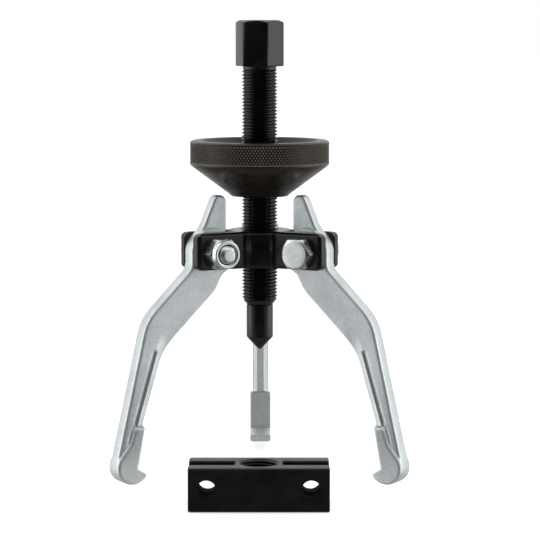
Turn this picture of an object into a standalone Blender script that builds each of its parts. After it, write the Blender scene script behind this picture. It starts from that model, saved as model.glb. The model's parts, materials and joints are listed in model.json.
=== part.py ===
"""Three-jaw gear puller: a screw through a clevis yoke, three forged jaws on bolts,
a cone nut that spreads the tails of the jaws, and the loose two-way crossbar beside it.

Metres, +Z up. The hooks and the crossbar stand on z = 0, the screw is vertical.
The origin is under the middle of the footprint, AXIS_Y in front of the screw's axis.
"""
import math

import bmesh
import bpy
from mathutils import Matrix

MM = 0.001

# Everything is placed by the height of the jaws' pivots above the hooks.
PIVOT_Z = 99.6 * MM
PIVOT_R = 25.5 * MM
ARMS = {"left": 210, "right": 330, "back": 90}  # direction of each arm, degrees from +X

# Jaw: corners of the outline as (distance from the screw, height, fillet), in mm.
JAW_OUTLINE = [
    (18.6, 124.6, 2.6),  # tip of the tail
    (23.8, 124.6, 3.0),
    (29.6, 111.4, 10.0),  # outer side, down to the eye
    (36.0, 103.0, 9.0),
    (36.0, 93.1, 5.0),
    (58.4, 71.6, 22.0),  # elbow
    (75.45, 0.0, 7.55),  # heel of the hook
    (61.93, 0.0, 7.3),
    (59.65, 3.1, 0.0),  # toe
    (59.2, 4.2, 0.0),
    (63.5, 6.8, 0.6),  # throat
    (60.0, 25.0, 30.0),  # inner side, back up to the elbow
    (49.2, 59.6, 25.0),
    (24.6, 82.8, 12.0),
    (20.9, 89.8, 2.5),  # eye
    (15.0, 92.8, 9.4),
    (15.0, 104.4, 8.8),
    (18.6, 107.5, 1.5),
]
# The jaw is thinned above an S-shaped shoulder, which leaves the thick head of the hook.
ABOVE_HEAD = [
    (65.0, 25.6, 3.0),
    (67.6, 17.6, 10.0),
    (73.6, 10.4, 4.0),
    (74.6, 4.0, 0.0),
    (90.0, 4.0, 0.0),
    (90.0, 140.0, 0.0),
    (0.0, 140.0, 0.0),
    (0.0, 25.6, 0.0),
]
# The inner edge of the stem slopes away to both sides below the elbow, beside a groove.
# The edge's straight stretch, as (distance from the screw, height) in mm, from the head up.
STEM_EDGE = ((60.0, 25.0), (49.2, 59.6))
EDGE_HALF = 1.75  # half thickness at the very edge, mm
EDGE_SLOPE = 0.5
SLOPE_WIDTH = 4.1
SLOPE_SPAN = (0.9, 37.0)  # along the edge
GROOVE_SPAN = (1.2, 33.5)
GROOVE_REACH = (3.3, 4.9)  # in from the edge
GROOVE_HALF = 2.6  # half thickness left between the two grooves
JAW_THICK = 7.4 * MM
HEAD_THICK = 9.8 * MM
TAIL_THICK = 5.6 * MM
EYE_RADIUS = 10.5  # mm, the tail is thinned outside it
TAIL_Z = 102.3
HOOK_REACH = 73.4 * MM  # outermost point of a hook from the screw's axis

# Yoke
YOKE_TOP = 108.5 * MM
YOKE_BOTTOM = 92.1 * MM
YOKE_CORE_RADIUS = 15.0 * MM
YOKE_REACH = 36.0 * MM
YOKE_WIDTH = 17.0 * MM
YOKE_CORNER = 3.5  # rounding of the ears' ends, in mm like the outlines
SLOT_WIDTH = 8.0 * MM
SLOT_START = 14.3 * MM

# M16 x 1.5 forcing screw with a 19 mm hexagon
SCREW_RADIUS = 8.0 * MM
SCREW_BORE = 8.3 * MM  # hole for the screw in the yoke and the cone nut
SCREW_TOP = 201.2 * MM
HEX_FLATS = 19.0 * MM
HEX_BOTTOM = 180.9 * MM
HEX_CHAMFER_RADIUS = 8.9 * MM
HEX_CHAMFER_DROP = 1.1 * MM
HEX_TURN = math.radians(18.75)
NECK_RADIUS = 7.6 * MM
NECK_BOTTOM = 179.1 * MM
THREAD_END = 77.6 * MM
SCREW_END = 75.1 * MM

# Swivelling centre point, held in the screw by a snap ring
POINT_RADIUS = 6.0 * MM
POINT_SHOULDER = 60.1 * MM
POINT_TIP = 54.6 * MM
POINT_TIP_RADIUS = 0.65 * MM
STEM_RADIUS = 3.0 * MM
STEM_TOP = 88.7 * MM
STEM_BORE = 3.4 * MM
BORE_TOP = 89.7 * MM
GROOVE_Z = 83.2 * MM
GROOVE_HEIGHT = 1.8 * MM
GROOVE_IN_STEM = 2.2 * MM
GROOVE_IN_SCREW = 4.4 * MM
RING_INNER = 2.55 * MM
RING_OUTER = 4.0 * MM
RING_HEIGHT = 1.1 * MM

# Cone nut
RIM_RADIUS = 31.0 * MM
RIM_TOP = 148.2 * MM
RIM_BOTTOM = 137.0 * MM
RIM_EDGE = 1.3 * MM
CONE_TOP_RADIUS = 30.2 * MM
CONE_END_RADIUS = 13.2 * MM
CONE_BOTTOM = 123.4 * MM
DISH_RADIUS = 26.3 * MM
DISH_DEPTH = 3.0 * MM

# M8 pivot bolts and lock nuts
BOLT_RADIUS = 4.0 * MM
BOLT_FLATS = 13.0 * MM
BOLT_HEAD = 5.3 * MM
BOLT_STANDS_OUT = 1.7 * MM
BOLT_END_RADIUS = 3.1 * MM
NUT_HEX = 5.6 * MM
NUT_HEIGHT = 8.0 * MM
COLLAR_RADIUS = 6.2 * MM
POCKET_RADIUS = 5.5 * MM
INSERT_RADIUS = 5.2 * MM
INSERT_HEIGHT = 1.7 * MM

# Two-way crossbar, standing in front of the puller
BAR_LENGTH = 58.5 * MM
BAR_DEPTH = 24.0 * MM
BAR_HEIGHT = 18.4 * MM
BAR_OUT = 80.0 * MM  # from the screw's axis to the middle of the bar
BAR_SLOT = 8.5 * MM
BAR_CORE = 20.0 * MM
BAR_HOLE_RADIUS = 7.2 * MM
BAR_HOLE_CHAMFER = 8.4 * MM
BAR_PIN_RADIUS = 4.1 * MM
BAR_PIN_X = 21.6 * MM

GAP = 0.3 * MM  # between pieces that touch
FLAT_UP = math.radians(30)  # turns a bolt's or a nut's hexagon so that a flat is on top
ROUND_STEPS = 40
ARC_STEP = math.radians(12)
AXIS_Y = (BAR_OUT + BAR_DEPTH / 2 - HOOK_REACH) / 2


def clear_scene():
    for item in list(bpy.data.objects):
        bpy.data.objects.remove(item, do_unlink=True)


def collection(name):
    group = bpy.data.collections.new(name)
    bpy.context.scene.collection.children.link(group)
    return group


def material(name, colour, roughness, metallic):
    made = bpy.data.materials.new(name)
    made.use_nodes = True
    shader = made.node_tree.nodes["Principled BSDF"]
    shader.inputs["Base Color"].default_value = (*colour, 1.0)
    shader.inputs["Roughness"].default_value = roughness
    shader.inputs["Metallic"].default_value = metallic
    return made


clear_scene()
PARTS = collection("gear_puller")
CUTTERS = collection("cutters")
BLACK = material("black_oxide", (0.012, 0.011, 0.012), 0.35, 0.9)
BROWN = material("phosphated_steel", (0.030, 0.026, 0.023), 0.45, 0.8)
ZINC = material("zinc_plate", (0.60, 0.62, 0.63), 0.35, 0.9)
BRIGHT = material("bright_zinc", (0.72, 0.75, 0.73), 0.25, 1.0)
NYLON = material("dark_nylon", (0.02, 0.03, 0.04), 0.5, 0.0)


def place(name, mesh, group=PARTS, finish=None, parent=None, at=(0, 0, 0)):
    made = bpy.data.objects.new(name, mesh)
    group.objects.link(made)
    made.parent = parent
    made.location = at
    if finish:
        mesh.materials.clear()
        mesh.materials.append(finish)
    if group is CUTTERS:
        made.hide_render = True
        made.display_type = "WIRE"
    return made


def empty(name, at, turn=0.0, parent=None):
    made = bpy.data.objects.new(name, None)
    PARTS.objects.link(made)
    made.parent = parent
    made.location = at
    made.rotation_euler.z = turn
    return made


def outline_points(corners):
    """Walk round the corners, replacing each by an arc of its own radius."""
    points = []
    for i, (x, y, radius) in enumerate(corners):
        before = corners[i - 1]
        after = corners[(i + 1) % len(corners)]
        into = math.atan2(y - before[1], x - before[0])
        out = math.atan2(after[1] - y, after[0] - x)
        turn = (out - into + math.pi) % (2 * math.pi) - math.pi
        if radius == 0 or abs(turn) < ARC_STEP / 4:
            points.append((x, y))
            continue
        tangent = radius * math.tan(abs(turn) / 2)
        side = math.copysign(1, turn)
        start = (x - tangent * math.cos(into), y - tangent * math.sin(into))
        centre = (
            start[0] - side * radius * math.sin(into),
            start[1] + side * radius * math.cos(into),
        )
        steps = max(2, math.ceil(abs(turn) / ARC_STEP))
        for step in range(steps + 1):
            angle = into + turn * step / steps
            points.append(
                (
                    centre[0] + side * radius * math.sin(angle),
                    centre[1] - side * radius * math.cos(angle),
                )
            )
    return points


def plate_mesh(name, corners, thickness, centre=(0.0, 0.0), shift=0.0):
    """A flat outline in mm, upright in the XZ plane about a centre, thickness along Y."""
    curve = bpy.data.curves.new(name, "CURVE")
    curve.dimensions = "2D"
    curve.fill_mode = "BOTH"
    curve.extrude = thickness / 2
    spline = curve.splines.new("POLY")
    points = outline_points(corners)
    spline.points.add(len(points) - 1)
    for point, (x, y) in zip(spline.points, points):
        point.co = (x * MM - centre[0], y * MM - centre[1], 0, 1)
    spline.use_cyclic_u = True
    guide = bpy.data.objects.new(name, curve)
    bpy.context.scene.collection.objects.link(guide)
    guide.matrix_world = Matrix.Translation((0, shift, 0)) @ Matrix.Rotation(math.pi / 2, 4, "X")
    bpy.context.view_layer.update()
    solid = guide.evaluated_get(bpy.context.evaluated_depsgraph_get())
    mesh = bpy.data.meshes.new_from_object(solid)
    mesh.transform(guide.matrix_world)
    bpy.data.objects.remove(guide)
    work = bmesh.new()
    work.from_mesh(mesh)
    bmesh.ops.remove_doubles(work, verts=work.verts, dist=1e-6)
    bmesh.ops.dissolve_limit(work, angle_limit=0.001, verts=work.verts, edges=work.edges)
    bmesh.ops.recalc_face_normals(work, faces=work.faces)
    work.to_mesh(mesh)
    work.free()
    return mesh


def prism_mesh(name, radius, height, sides=ROUND_STEPS, turn=0.0, axis="Z", middle=0.0):
    """A cylinder or hexagon from bmesh, along Z or Y, its middle at a distance on that axis."""
    work = bmesh.new()
    bmesh.ops.create_cone(
        work, cap_ends=True, segments=sides, radius1=radius, radius2=radius, depth=height
    )
    move = Matrix.Translation((0, 0, middle)) @ Matrix.Rotation(turn, 4, "Z")
    if axis == "Y":
        move = Matrix.Rotation(-math.pi / 2, 4, "X") @ move
    bmesh.ops.transform(work, matrix=move, verts=work.verts)
    mesh = bpy.data.meshes.new(name)
    work.to_mesh(mesh)
    work.free()
    return mesh


def box_mesh(name, low, high):
    work = bmesh.new()
    bmesh.ops.create_cube(work, size=1.0)
    size = [b - a for a, b in zip(low, high)]
    centre = [(a + b) / 2 for a, b in zip(low, high)]
    bmesh.ops.scale(work, vec=size, verts=work.verts)
    bmesh.ops.translate(work, vec=centre, verts=work.verts)
    mesh = bpy.data.meshes.new(name)
    work.to_mesh(mesh)
    work.free()
    return mesh


def turned(name, profile, closed, group=PARTS, finish=None, parent=None, at=(0, 0, 0)):
    """Turn a profile of (radius, height) round Z; it runs down the outer side."""
    mesh = bpy.data.meshes.new(name)
    count = len(profile)
    edges = [(i, i + 1) for i in range(count - 1)]
    if closed:
        edges.append((count - 1, 0))
    mesh.from_pydata([(r, 0, z) for r, z in profile], edges, [])
    made = place(name, mesh, group, finish, parent, at)
    screw = made.modifiers.new("turn", "SCREW")
    screw.steps = ROUND_STEPS
    screw.render_steps = ROUND_STEPS
    screw.use_merge_vertices = True
    screw.merge_threshold = 0.00002
    screw.use_normal_calculate = False
    return made


def combine(target, tool, operation):
    change = target.modifiers.new(tool.name, "BOOLEAN")
    change.operation = operation
    change.solver = "EXACT"
    change.object = tool
    return change


def hexagon_radius(flats):
    return flats / math.sqrt(3)


def build_yoke(axis):
    """A round core with three arms, each slotted into a clevis for its jaw."""
    middle = (YOKE_TOP + YOKE_BOTTOM) / 2
    core = prism_mesh("yoke", YOKE_CORE_RADIUS, YOKE_TOP - YOKE_BOTTOM, middle=middle)
    yoke = place("yoke", core, finish=BLACK, parent=axis)
    top, bottom, reach = YOKE_TOP / MM, YOKE_BOTTOM / MM, YOKE_REACH / MM
    arm = [
        (0.0, bottom, 0.0),
        (reach, bottom, YOKE_CORNER),
        (reach, top, YOKE_CORNER),
        (0.0, top, 0.0),
    ]
    arm_mesh = plate_mesh("yoke_arm", arm, YOKE_WIDTH)
    slot_mesh = box_mesh(
        "yoke_slot",
        (SLOT_START, -SLOT_WIDTH / 2, YOKE_BOTTOM - 5 * MM),
        (YOKE_REACH + 5 * MM, SLOT_WIDTH / 2, YOKE_TOP + 5 * MM),
    )
    hole_mesh = prism_mesh("yoke_pin_hole", BOLT_RADIUS + GAP, 2 * YOKE_WIDTH, sides=24, axis="Y")
    for name, angle in ARMS.items():
        turn = math.radians(angle)
        tool = place(f"yoke_arm_{name}", arm_mesh, CUTTERS, parent=axis)
        tool.rotation_euler.z = turn
        combine(yoke, tool, "UNION")
    for name, angle in ARMS.items():
        turn = math.radians(angle)
        slot = place(f"yoke_slot_{name}", slot_mesh, CUTTERS, parent=axis)
        slot.rotation_euler.z = turn
        combine(yoke, slot, "DIFFERENCE")
        across = (PIVOT_R * math.cos(turn), PIVOT_R * math.sin(turn), PIVOT_Z)
        hole = place(f"yoke_pin_hole_{name}", hole_mesh, CUTTERS, parent=axis, at=across)
        hole.rotation_euler.z = turn
        combine(yoke, hole, "DIFFERENCE")
    bore = prism_mesh("yoke_bore", SCREW_BORE, 2 * (YOKE_TOP - YOKE_BOTTOM), middle=PIVOT_Z)
    combine(yoke, place("yoke_bore", bore, CUTTERS, parent=axis), "DIFFERENCE")


def tail_region():
    """Everything above the eye: the round of the eye bounds it from below."""
    corners = [(0.0, TAIL_Z, 0.0)]
    reach = math.asin((TAIL_Z - PIVOT_Z / MM) / EYE_RADIUS)
    steps = 16
    for i in range(steps + 1):
        angle = math.pi - reach - (math.pi - 2 * reach) * i / steps
        x = PIVOT_R / MM + EYE_RADIUS * math.cos(angle)
        y = PIVOT_Z / MM + EYE_RADIUS * math.sin(angle)
        corners.append((x, y, 0.0))
    return corners + [(60.0, TAIL_Z, 0.0), (60.0, 140.0, 0.0), (0.0, 140.0, 0.0)]


def edge_bar(name, section, span, side):
    """A bar along the straight inner edge of the stem; section is (in from the edge, across)."""
    (r0, z0), (r1, z1) = STEM_EDGE
    length = math.hypot(r1 - r0, z1 - z0)
    along = ((r1 - r0) / length, (z1 - z0) / length)
    inward = (along[1], -along[0])
    verts = []
    for s in span:
        for u, t in section:
            r = r0 + along[0] * s + inward[0] * u
            z = z0 + along[1] * s + inward[1] * u
            verts.append((r * MM - PIVOT_R, side * t * MM, z * MM - PIVOT_Z))
    count = len(section)
    faces = [tuple(range(count)), tuple(range(count, 2 * count))]
    for i in range(count):
        k = (i + 1) % count
        faces.append((i, k, k + count, i + count))
    mesh = bpy.data.meshes.new(name)
    mesh.from_pydata(verts, [], faces)
    work = bmesh.new()
    work.from_mesh(mesh)
    bmesh.ops.recalc_face_normals(work, faces=work.faces)
    work.to_mesh(mesh)
    work.free()
    return mesh


def build_jaw(name, pivot):
    """Forged in one: thick at the hook, thinner above it and thinnest at the tail."""
    centre = (PIVOT_R, PIVOT_Z)
    blank = plate_mesh("jaw", JAW_OUTLINE, HEAD_THICK, centre)
    jaw = place(f"jaw_{name}", blank, finish=ZINC, parent=pivot)
    outer = HEAD_THICK / MM
    slope = [
        (-1.0, EDGE_HALF - EDGE_SLOPE),
        (SLOPE_WIDTH, EDGE_HALF + EDGE_SLOPE * SLOPE_WIDTH),
        (SLOPE_WIDTH, outer),
        (-1.0, outer),
    ]
    near, far = GROOVE_REACH
    groove = [(near, GROOVE_HALF), (far, GROOVE_HALF), (far, outer), (near, outer)]
    for side, label in ((-1, "near"), (1, "far")):
        cutters = []
        for region, outline, thickness in (
            ("thin", ABOVE_HEAD, JAW_THICK),
            ("tail", tail_region(), TAIL_THICK),
        ):
            shift = side * (thickness + HEAD_THICK) / 2
            cutters.append((region, plate_mesh(f"jaw_{region}", outline, HEAD_THICK, centre, shift)))
        cutters.append(("slope", edge_bar("jaw_slope", slope, SLOPE_SPAN, side)))
        cutters.append(("groove", edge_bar("jaw_groove", groove, GROOVE_SPAN, side)))
        for region, tool in cutters:
            cutter = place(f"jaw_{region}_{label}_{name}", tool, CUTTERS, parent=pivot)
            combine(jaw, cutter, "DIFFERENCE")
    hole = prism_mesh("jaw_hole", BOLT_RADIUS + GAP, 2 * HEAD_THICK, sides=24, axis="Y")
    combine(jaw, place(f"jaw_hole_{name}", hole, CUTTERS, parent=pivot), "DIFFERENCE")


def lay_down(item):
    """Turn a piece made along Z so that it points along +Y."""
    item.rotation_euler = (-math.pi / 2, 0, 0)


def build_bolt(name, pivot):
    """The head is on the arm's -Y side, the end stands out of the nut on the +Y side."""
    face = YOKE_WIDTH / 2 + GAP
    end = face + NUT_HEIGHT + BOLT_STANDS_OUT
    chamfer = BOLT_RADIUS - BOLT_END_RADIUS
    shank = [
        (0.0, end),
        (BOLT_END_RADIUS, end),
        (BOLT_RADIUS, end - chamfer),
        (BOLT_RADIUS, -face - BOLT_HEAD / 2),
        (0.0, -face - BOLT_HEAD / 2),
    ]
    bolt = turned(f"pivot_bolt_{name}", shank, False, finish=BRIGHT, parent=pivot)
    lay_down(bolt)
    radius = hexagon_radius(BOLT_FLATS)
    middle = -face - BOLT_HEAD / 2
    head_mesh = prism_mesh("bolt_head", radius, BOLT_HEAD, 6, FLAT_UP, "Y", middle)
    head = place(f"bolt_head_{name}", head_mesh, CUTTERS, parent=pivot)
    corners = corner_cutter(f"bolt_head_{name}", pivot, -face, -face - BOLT_HEAD)
    combine(head, corners, "INTERSECT")
    combine(bolt, head, "UNION")


def corner_cutter(name, pivot, inner, outer):
    """A short barrel that takes the corners off a hexagon at its outer face."""
    reach = hexagon_radius(BOLT_FLATS) + 0.2 * MM
    flat = BOLT_FLATS / 2 - 0.1 * MM
    drop = (reach - flat) * math.tan(math.radians(30))
    sign = math.copysign(1, outer - inner)
    profile = [
        (0.0, outer),
        (flat, outer),
        (reach, outer - sign * drop),
        (reach, inner - sign * MM),
        (0.0, inner - sign * MM),
    ]
    if sign < 0:
        profile.reverse()
    barrel = turned(f"corners_{name}", profile, False, CUTTERS, parent=pivot)
    lay_down(barrel)
    return barrel


def build_nut(name, pivot):
    """Hexagon with a round collar; a dark locking ring sits in the collar's pocket."""
    face = YOKE_WIDTH / 2 + GAP
    top = face + NUT_HEIGHT
    bore = BOLT_RADIUS + GAP
    pocket = face + NUT_HEX
    radius = hexagon_radius(BOLT_FLATS)
    hexagon = prism_mesh("nut_hex", radius, NUT_HEX, 6, FLAT_UP, "Y", face + NUT_HEX / 2)
    nut = place(f"lock_nut_{name}", hexagon, finish=BRIGHT, parent=pivot)
    combine(nut, corner_cutter(f"nut_{name}", pivot, face, face + NUT_HEX), "INTERSECT")
    tall = NUT_HEIGHT - MM
    collar = prism_mesh("nut_collar", COLLAR_RADIUS, tall, axis="Y", middle=top - tall / 2)
    combine(nut, place(f"nut_collar_{name}", collar, CUTTERS, parent=pivot), "UNION")
    hollow = [
        (0.0, top + MM),
        (POCKET_RADIUS, top + MM),
        (POCKET_RADIUS, pocket),
        (bore, pocket),
        (bore, face - MM),
        (0.0, face - MM),
    ]
    cutter = turned(f"nut_hollow_{name}", hollow, False, CUTTERS, parent=pivot)
    lay_down(cutter)
    combine(nut, cutter, "DIFFERENCE")
    low = pocket + GAP
    high = low + INSERT_HEIGHT
    ring = [(bore, high), (INSERT_RADIUS, high), (INSERT_RADIUS, low), (bore, low)]
    insert = turned(f"nut_insert_{name}", ring, True, finish=NYLON, parent=pivot)
    lay_down(insert)


def build_screw(axis):
    """Turned shank with a blind bore for the centre point's stem, joined to its hexagon."""
    groove = (GROOVE_Z + GROOVE_HEIGHT / 2, GROOVE_Z - GROOVE_HEIGHT / 2)
    profile = [
        (0.0, HEX_BOTTOM + 5 * MM),
        (NECK_RADIUS, HEX_BOTTOM + 5 * MM),
        (NECK_RADIUS, NECK_BOTTOM),
        (SCREW_RADIUS, NECK_BOTTOM - (SCREW_RADIUS - NECK_RADIUS)),
        (SCREW_RADIUS, THREAD_END),
        (POINT_RADIUS, SCREW_END),
        (STEM_BORE, SCREW_END),
        (STEM_BORE, groove[1]),
        (GROOVE_IN_SCREW, groove[1]),
        (GROOVE_IN_SCREW, groove[0]),
        (STEM_BORE, groove[0]),
        (STEM_BORE, BORE_TOP),
        (0.0, BORE_TOP + STEM_BORE / 2),
    ]
    screw = turned("forcing_screw", profile, False, finish=BLACK, parent=axis)
    middle = (SCREW_TOP + HEX_BOTTOM) / 2
    corner = hexagon_radius(HEX_FLATS)
    height = SCREW_TOP - HEX_BOTTOM
    hexagon = prism_mesh("screw_hex", corner, height, sides=6, turn=HEX_TURN, middle=middle)
    head = place("screw_hex", hexagon, CUTTERS, parent=axis)
    drop = HEX_CHAMFER_DROP * (corner + MM - HEX_CHAMFER_RADIUS) / (corner - HEX_CHAMFER_RADIUS)
    barrel = [
        (0.0, SCREW_TOP),
        (HEX_CHAMFER_RADIUS, SCREW_TOP),
        (corner + MM, SCREW_TOP - drop),
        (corner + MM, HEX_BOTTOM - MM),
        (0.0, HEX_BOTTOM - MM),
    ]
    combine(head, turned("screw_hex_corners", barrel, False, CUTTERS, parent=axis), "INTERSECT")
    combine(screw, head, "UNION")


def build_point(axis):
    """The centre point swivels on a stem; a snap ring in matching grooves holds it."""
    groove = (GROOVE_Z + GROOVE_HEIGHT / 2, GROOVE_Z - GROOVE_HEIGHT / 2)
    shoulder = SCREW_END - GAP
    profile = [
        (0.0, STEM_TOP),
        (STEM_RADIUS - 0.4 * MM, STEM_TOP),
        (STEM_RADIUS, STEM_TOP - 0.4 * MM),
        (STEM_RADIUS, groove[0]),
        (GROOVE_IN_STEM, groove[0]),
        (GROOVE_IN_STEM, groove[1]),
        (STEM_RADIUS, groove[1]),
        (STEM_RADIUS, shoulder),
        (POINT_RADIUS, shoulder),
        (POINT_RADIUS, POINT_SHOULDER),
        (POINT_TIP_RADIUS, POINT_TIP),
        (0.0, POINT_TIP),
    ]
    turned("centre_point", profile, False, finish=BLACK, parent=axis)
    high = GROOVE_Z + RING_HEIGHT / 2
    low = GROOVE_Z - RING_HEIGHT / 2
    ring = [(RING_INNER, high), (RING_OUTER, high), (RING_OUTER, low), (RING_INNER, low)]
    snap = turned("tip_retaining_ring", ring, True, finish=BRIGHT, parent=axis)
    split = box_mesh("ring_split", (0, -0.7 * MM, low - MM), (RING_OUTER + MM, 0.7 * MM, high + MM))
    combine(snap, place("ring_split", split, CUTTERS, parent=axis), "DIFFERENCE")


def build_cone_nut(axis):
    """Hand nut: a dished rim over a cone that pushes the tails of the jaws apart."""
    dish = RIM_TOP - DISH_DEPTH
    profile = [
        (SCREW_BORE, dish),
        (DISH_RADIUS - DISH_DEPTH / 2, dish),
        (DISH_RADIUS, RIM_TOP),
        (RIM_RADIUS - RIM_EDGE, RIM_TOP),
        (RIM_RADIUS, RIM_TOP - RIM_EDGE),
        (RIM_RADIUS, RIM_BOTTOM + RIM_EDGE),
        (RIM_RADIUS - RIM_EDGE / 2, RIM_BOTTOM),
        (CONE_TOP_RADIUS, RIM_BOTTOM - 0.3 * MM),
        (CONE_END_RADIUS, CONE_BOTTOM + 0.6 * MM),
        (CONE_END_RADIUS - 0.6 * MM, CONE_BOTTOM),
        (SCREW_BORE, CONE_BOTTOM),
    ]
    turned("cone_nut", profile, True, finish=BROWN, parent=axis)


def build_crossbar(axis):
    """Solid bar with a threaded middle, slotted ends and two cross holes for jaw bolts."""
    seat = empty("crossbar_seat", (0, -BAR_OUT, 0), parent=axis)
    half = BAR_LENGTH / 2
    body = box_mesh("crossbar", (-half, -BAR_DEPTH / 2, 0), (half, BAR_DEPTH / 2, BAR_HEIGHT))
    bar = place("crossbar", body, finish=BLACK, parent=seat)
    for side, name in ((-1, "left"), (1, "right")):
        start, end = sorted((side * BAR_CORE / 2, side * (half + 5 * MM)))
        slot = box_mesh(
            "bar_slot", (start, -BAR_SLOT / 2, -5 * MM), (end, BAR_SLOT / 2, BAR_HEIGHT + 5 * MM)
        )
        combine(bar, place(f"bar_slot_{name}", slot, CUTTERS, parent=seat), "DIFFERENCE")
        hole = prism_mesh("bar_pin_hole", BAR_PIN_RADIUS, 2 * BAR_DEPTH, sides=24, axis="Y")
        across = (side * BAR_PIN_X, 0, BAR_HEIGHT / 2)
        tool = place(f"bar_pin_hole_{name}", hole, CUTTERS, parent=seat, at=across)
        combine(bar, tool, "DIFFERENCE")
    slope = BAR_HOLE_CHAMFER - BAR_HOLE_RADIUS
    hollow = [
        (0.0, BAR_HEIGHT + MM),
        (BAR_HOLE_CHAMFER + MM, BAR_HEIGHT + MM),
        (BAR_HOLE_RADIUS, BAR_HEIGHT - slope),
        (BAR_HOLE_RADIUS, slope),
        (BAR_HOLE_CHAMFER + MM, -MM),
        (0.0, -MM),
    ]
    combine(bar, turned("bar_screw_hole", hollow, False, CUTTERS, parent=seat), "DIFFERENCE")


def build():
    axis = empty("screw_axis", (0, AXIS_Y, 0))
    build_yoke(axis)
    for name, angle in ARMS.items():
        turn = math.radians(angle)
        across = (PIVOT_R * math.cos(turn), PIVOT_R * math.sin(turn), PIVOT_Z)
        pivot = empty(f"pivot_{name}", across, turn, axis)
        build_jaw(name, pivot)
        build_bolt(name, pivot)
        build_nut(name, pivot)
    build_screw(axis)
    build_point(axis)
    build_cone_nut(axis)
    build_crossbar(axis)


build()
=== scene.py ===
"""Looks of the three-jaw gear puller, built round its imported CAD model.

Lengths in the shape code are in mm. They become metres in skin_mesh, and where MM is used.
"""
import json
import math

import bmesh
import bpy
import numpy as np
from mathutils import Matrix, Vector
from mathutils.geometry import delaunay_2d_cdt


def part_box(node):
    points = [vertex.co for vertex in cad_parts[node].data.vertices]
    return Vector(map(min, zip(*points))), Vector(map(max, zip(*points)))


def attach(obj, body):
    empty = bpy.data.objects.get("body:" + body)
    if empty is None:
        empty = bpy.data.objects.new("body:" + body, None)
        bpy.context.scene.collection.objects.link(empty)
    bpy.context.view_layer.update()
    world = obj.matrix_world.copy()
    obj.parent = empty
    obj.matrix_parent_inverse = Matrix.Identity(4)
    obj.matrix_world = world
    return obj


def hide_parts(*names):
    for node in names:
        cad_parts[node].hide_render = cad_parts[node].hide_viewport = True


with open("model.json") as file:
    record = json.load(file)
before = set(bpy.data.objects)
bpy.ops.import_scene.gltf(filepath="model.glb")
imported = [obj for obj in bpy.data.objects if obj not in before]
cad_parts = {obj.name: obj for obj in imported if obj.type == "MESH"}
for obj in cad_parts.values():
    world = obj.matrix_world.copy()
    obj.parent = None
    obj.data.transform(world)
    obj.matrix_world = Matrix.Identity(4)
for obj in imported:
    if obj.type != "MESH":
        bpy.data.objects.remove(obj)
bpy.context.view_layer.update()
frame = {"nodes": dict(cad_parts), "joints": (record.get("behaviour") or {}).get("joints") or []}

MM = 0.001
FAR = 1e9
NO_LENGTH = 1e-14  # a squared length
SMOOTH = math.radians(34)  # edges sharper than this stay crisp
ROUND = 96  # columns of most turned pieces
BORE_COLUMNS = 72
ARC_STEP = math.radians(9)  # most that one segment of a fillet turns
STRAIGHT = 0.02  # corners that turn by fewer radians than this aren't rounded
LOOP_STEP = 0.8  # longest segment of a loop that distances are measured to
WELD = 2e-4  # points of a skin nearer than this are one point
CUTTER_WELD = 1e-4
SHORT_EDGE = 1e-5

JOINTS = {joint["name"]: joint for joint in frame["joints"]}
AXIS = Vector(JOINTS["screw_turn"]["pos_m"]) / MM
AXIS.z = 0
ARMS = {"left": 210, "right": 330, "back": 90}


def box_mm(node):
    low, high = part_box(node)
    return Vector(low) / MM, Vector(high) / MM


# ------------------------ shapes


def corner_path(corners, closed=True):
    """Corners as (x, y, fillet), each replaced by an arc of its own radius."""
    points = []
    count = len(corners)
    for i, (x, y, radius) in enumerate(corners):
        if not closed and i in (0, count - 1):
            points.append((x, y))
            continue
        before = corners[i - 1]
        after = corners[(i + 1) % count]
        into = math.atan2(y - before[1], x - before[0])
        out = math.atan2(after[1] - y, after[0] - x)
        turn = (out - into + math.pi) % (2 * math.pi) - math.pi
        if radius == 0 or abs(turn) < STRAIGHT:
            points.append((x, y))
            continue
        tangent = radius * math.tan(abs(turn) / 2)
        side = math.copysign(1, turn)
        start = (x - tangent * math.cos(into), y - tangent * math.sin(into))
        cx = start[0] - side * radius * math.sin(into)
        cy = start[1] + side * radius * math.cos(into)
        steps = max(2, math.ceil(abs(turn) / ARC_STEP))
        for step in range(steps + 1):
            angle = into + turn * step / steps
            points.append(
                (cx + side * radius * math.sin(angle), cy - side * radius * math.cos(angle))
            )
    return np.array(points)


def spaced(path, step, closed=True):
    """The same path with no stretch longer than step."""
    ends = np.roll(path, -1, axis=0) if closed else path[1:]
    starts = path if closed else path[:-1]
    made = []
    for a, b in zip(starts, ends):
        parts = max(1, math.ceil(np.linalg.norm(b - a) / step))
        for i in range(parts):
            made.append(a + (b - a) * i / parts)
    if not closed:
        made.append(path[-1])
    return np.array(made)


def path_distance(points, path, closed=True):
    """Unsigned distance to a path, and whether each point is inside it."""
    best = np.full(len(points), FAR)
    inside = np.zeros(len(points), bool)
    ends = np.roll(path, -1, axis=0) if closed else path[1:]
    starts = path if closed else path[:-1]
    for a, b in zip(starts, ends):
        along = b - a
        length = float(along @ along)
        if length < NO_LENGTH:
            continue
        t = np.clip((points - a) @ along / length, 0, 1)
        gap = points - a - t[:, None] * along
        best = np.minimum(best, np.hypot(gap[:, 0], gap[:, 1]))
        if along[1]:
            crossed = (a[1] > points[:, 1]) != (b[1] > points[:, 1])
            crossing = a[0] + (points[:, 1] - a[1]) * along[0] / along[1]
            inside ^= crossed & (points[:, 0] < crossing)
    return best, inside


def depth_inside(points, loop):
    """Distance in from a closed loop, negative outside it."""
    best, inside = path_distance(points, loop)
    return np.where(inside, best, -best)


def circle(centre, radius, count):
    angles = np.arange(count) * 2 * math.pi / count
    return np.stack([centre[0] + radius * np.cos(angles), centre[1] + radius * np.sin(angles)], 1)


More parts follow.
